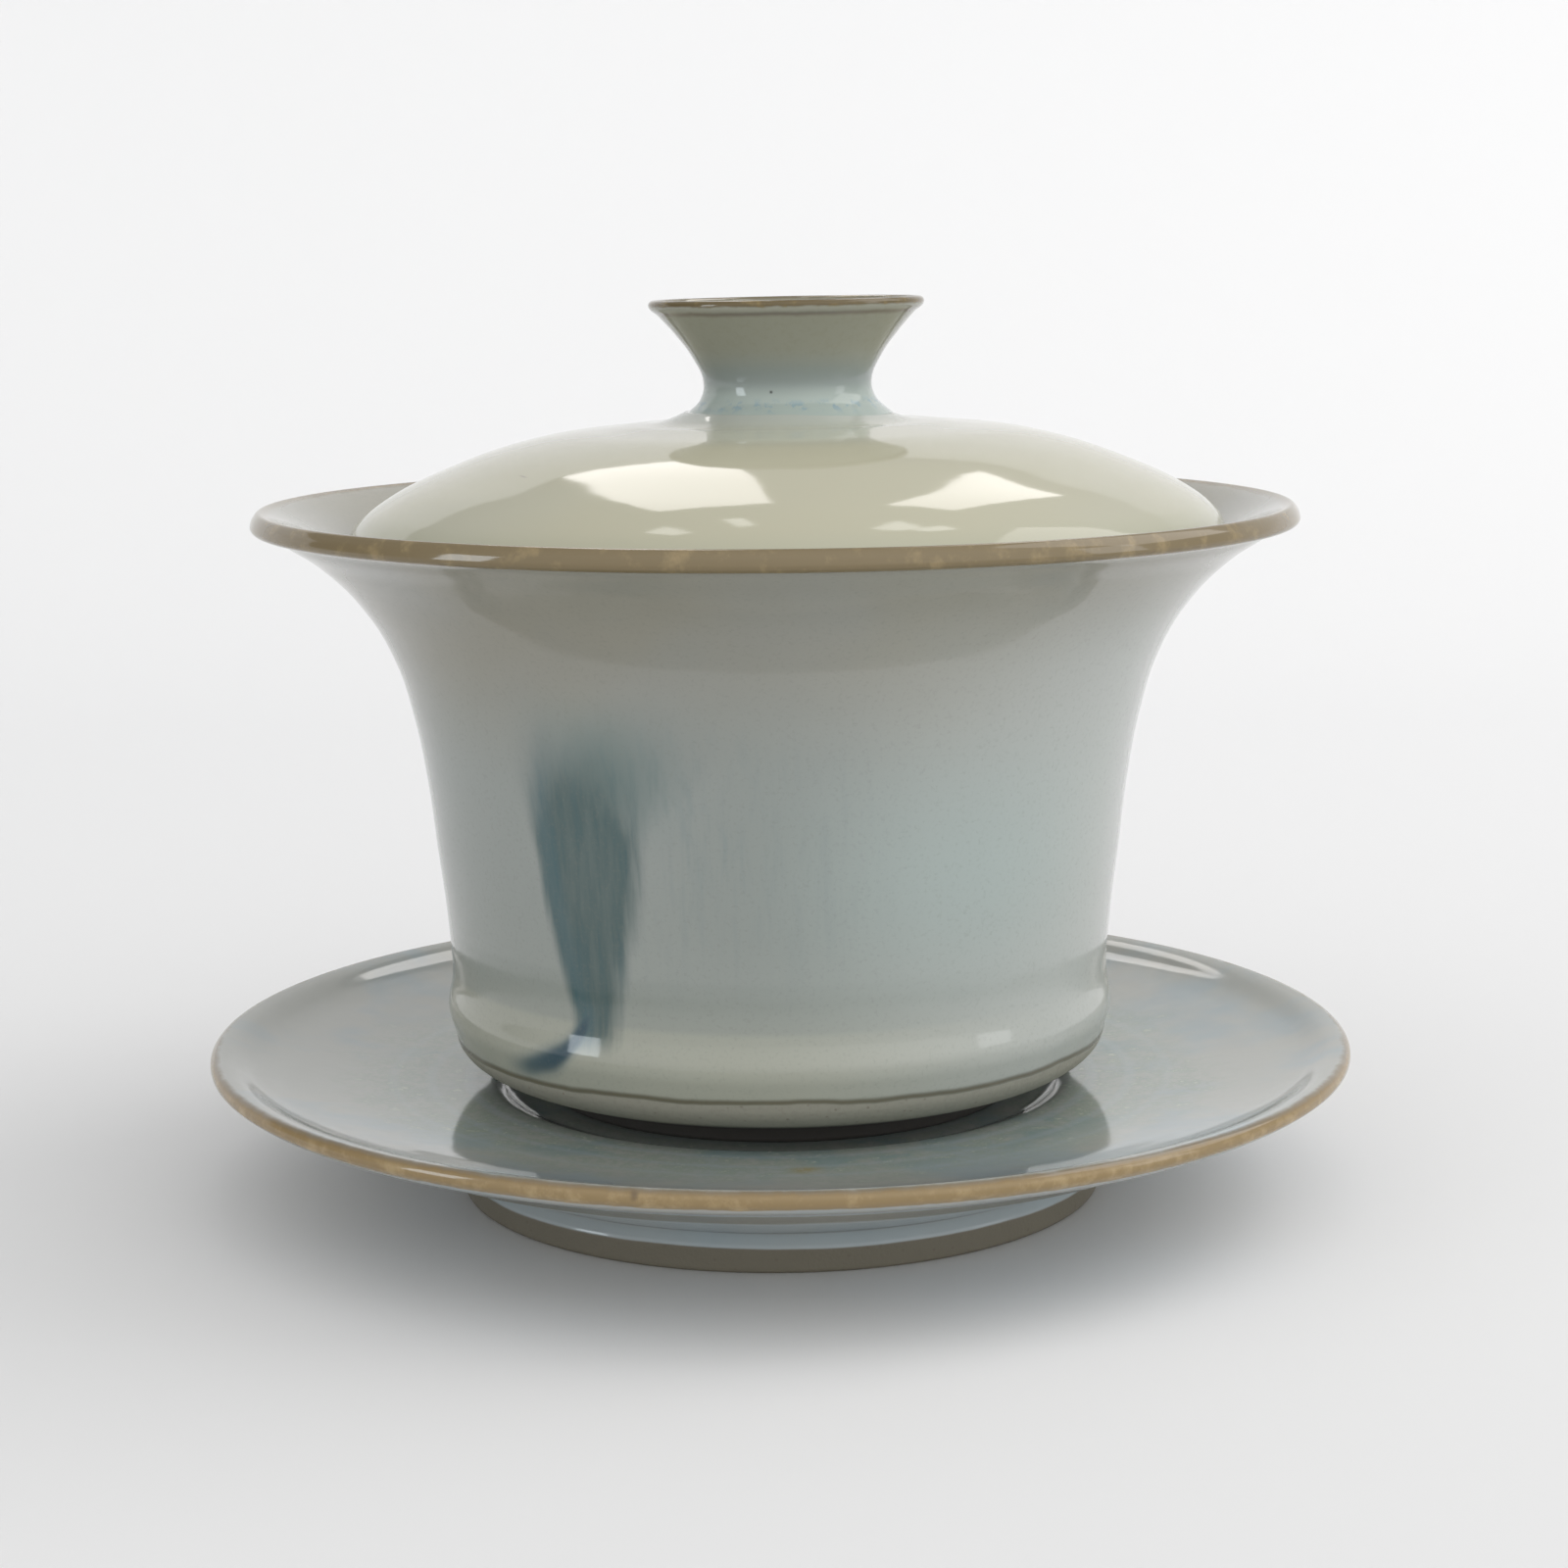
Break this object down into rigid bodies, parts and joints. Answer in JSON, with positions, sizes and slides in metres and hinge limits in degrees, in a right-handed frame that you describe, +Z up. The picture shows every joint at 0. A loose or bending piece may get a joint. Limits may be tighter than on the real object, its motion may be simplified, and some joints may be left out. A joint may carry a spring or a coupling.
{
  "type": "gaiwan",
  "caption": "Flared tea bowl under a domed lid with a cup-shaped knob, standing in a footed saucer. It brews tea and pours past the lid. Pale grey-green glaze with brown rims.",
  "frame": {"origin": "centre of the saucer's foot ring, on the surface it stands on", "axes": "+Z up along the turning axis of the saucer and bowl; +Y away from the side with the brushed blue mark; the lid sits a little towards +X"},
  "size_m": [0.1104, 0.1104, 0.0858],
  "materials": {
    "saucer_glaze": "gloss grey-blue glaze, tan lip, bare clay foot",
    "bowl_glaze": "gloss pale grey-green glaze, brushed blue mark, brown lip",
    "lid_glaze": "gloss creamy grey-green glaze",
    "knob_glaze": "gloss grey-green glaze, golden-brown lip"
  },
  "bodies": {
    "saucer": {"saucer": "saucer_glaze"},
    "bowl": {"bowl": "bowl_glaze"},
    "lid": {"lid": "lid_glaze", "lid_knob": "knob_glaze"}
  },
  "joints": [
    {"name": "bowl_lift", "type": "slide", "parent": "saucer", "child": "bowl", "axis": [0, 0, 1], "range_m": [0, 0.06]},
    {"name": "lid_lift", "type": "slide", "parent": "bowl", "child": "lid", "axis": [0, 0, 1], "range_m": [0, 0.06]}
  ]
}
